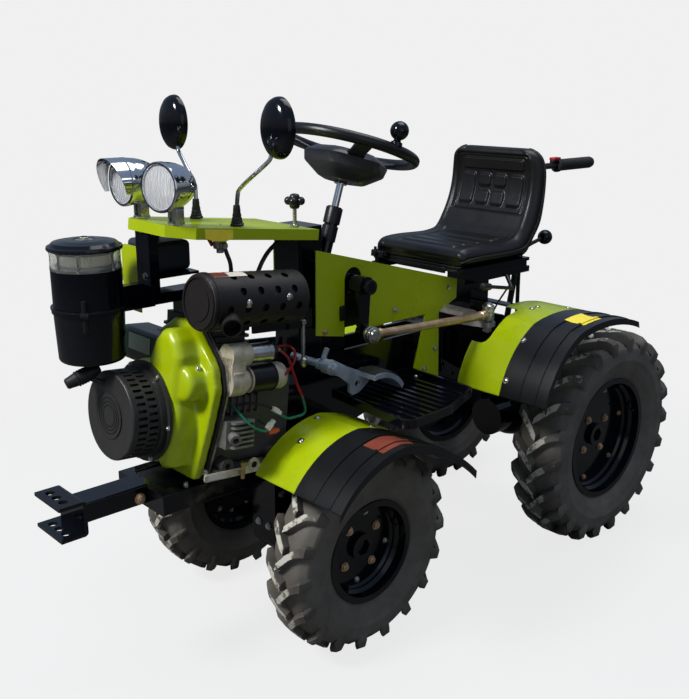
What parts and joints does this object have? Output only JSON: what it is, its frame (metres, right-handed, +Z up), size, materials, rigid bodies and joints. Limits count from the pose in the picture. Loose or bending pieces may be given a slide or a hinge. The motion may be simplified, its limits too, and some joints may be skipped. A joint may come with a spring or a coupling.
{
  "type": "articulated ride-on mini tractor",
  "caption": "Ride-on mini tractor with an articulated frame, open engine, lugged wheels, arched fenders, seat and steering wheel.",
  "frame": {"origin": "on the floor under the middle of the whole machine's bounding box", "axes": "+X is the machine's left, -Y is its front, +Z is up"},
  "size_m": [0.904, 1.9113, 1.2992],
  "materials": {
    "green_paint": "gloss lime green paint",
    "black_paint": "gloss black paint",
    "dark_green_paint": "gloss dark green paint",
    "dark_casting": "dark painted casting",
    "black_plastic": "moulded black plastic",
    "tyre_rubber": "matt rubber",
    "cast_metal": "bare casting",
    "zinc_steel": "yellow zinc plate",
    "chrome": "polished",
    "lamp_glass": "clear",
    "clear_bowl": "clear plastic bowl",
    "seat_vinyl": "embossed black vinyl"
  },
  "bodies": {
    "front": {"air_cleaner_body": "black_paint", "air_cleaner_bowl": "clear_bowl", "air_cleaner_lid": "black_paint", "brake_pedal": "cast_metal", "console_front_plate": "green_paint", "console_plate": "green_paint", "console_posts": "black_paint", "cooling_shroud": "green_paint", "engine_baffle": "dark_green_paint", "engine_block": "dark_casting", "engine_plate": "cast_metal", "footboard_left": "black_paint", "footboard_right": "black_paint", "front_axle": "black_paint", "front_fender_flare_left": "black_plastic", "front_fender_flare_right": "black_plastic", "front_fender_left": "green_paint", "front_fender_right": "green_paint", "front_frame": "black_paint", "fuel_tank": "black_plastic", "gearbox": "black_paint", "headlight_left": "chrome", "headlight_lens_left": "lamp_glass", "headlight_lens_right": "lamp_glass", "headlight_right": "chrome", "hitch_beam": "black_paint", "hitch_bracket": "black_paint", "hoses_and_wires": "black_plastic", "injection_pump": "cast_metal", "knob_lever": "black_plastic", "mirror_left": "black_plastic", "mirror_right": "black_plastic", "muffler": "black_paint", "recoil_starter": "black_paint", "side_panel_left": "green_paint", "side_panel_right": "green_paint", "starter_motor": "cast_metal", "steering_gear": "black_paint"},
    "rear": {"rear_frame": "black_paint", "steering_lever": "cast_metal", "rear_axle": "black_paint", "seat_rails": "black_paint", "seat": "seat_vinyl", "hand_lever": "black_paint", "rear_hitch": "black_paint", "rear_fender_left": "green_paint", "rear_fender_right": "green_paint", "rear_fender_flare_left": "black_plastic", "rear_fender_flare_right": "black_plastic"},
    "front_wheel_left": {"front_tyre_left": "tyre_rubber", "front_rim_left": "black_paint"},
    "front_wheel_right": {"front_tyre_right": "tyre_rubber", "front_rim_right": "black_paint"},
    "rear_wheel_left": {"rear_tyre_left": "tyre_rubber", "rear_rim_left": "black_paint"},
    "rear_wheel_right": {"rear_tyre_right": "tyre_rubber", "rear_rim_right": "black_paint"},
    "steering_wheel": {"steering_wheel": "black_plastic"},
    "pitman_arm": {"pitman_arm": "cast_metal"},
    "drag_link": {"drag_link": "zinc_steel"}
  },
  "joints": [
    {"name": "articulation", "type": "hinge", "parent": "front", "child": "rear", "pos_m": [0, 0.2366, 0.608], "axis": [0, 0, 1], "range_deg": [-20, 20]},
    {"name": "front_left_wheel_spin", "type": "hinge", "parent": "front", "child": "front_wheel_left", "pos_m": [0.256, -0.2934, 0.258], "axis": [1, 0, 0], "continuous": true},
    {"name": "front_right_wheel_spin", "type": "hinge", "parent": "front", "child": "front_wheel_right", "pos_m": [-0.256, -0.2934, 0.258], "axis": [1, 0, 0], "continuous": true},
    {"name": "rear_left_wheel_spin", "type": "hinge", "parent": "rear", "child": "rear_wheel_left", "pos_m": [0.303, 0.6356, 0.32], "axis": [1, 0, 0], "continuous": true},
    {"name": "rear_right_wheel_spin", "type": "hinge", "parent": "rear", "child": "rear_wheel_right", "pos_m": [-0.303, 0.6356, 0.32], "axis": [1, 0, 0], "continuous": true},
    {"name": "steering_wheel_turn", "type": "hinge", "parent": "front", "child": "steering_wheel", "pos_m": [0, -0.1754, 0.93], "axis": [0, 0.309, 0.9511], "range_deg": [-400, 400]},
    {"name": "pitman_swing", "type": "hinge", "parent": "front", "child": "pitman_arm", "pos_m": [0.14, -0.1784, 0.862], "axis": [1, 0, 0], "range_deg": [-31, 31]},
    {"name": "drag_link_ball", "type": "hinge", "parent": "pitman_arm", "child": "drag_link", "pos_m": [0.172, -0.1784, 0.747], "axis": [1, 0, 0], "range_deg": [-31, 31]}
  ],
  "couplings": [
    {"joint": "steering_wheel_turn", "follows": "articulation", "ratio": -20},
    {"joint": "pitman_swing", "follows": "articulation", "ratio": 1.54},
    {"joint": "drag_link_ball", "follows": "articulation", "ratio": -1.54}
  ]
}
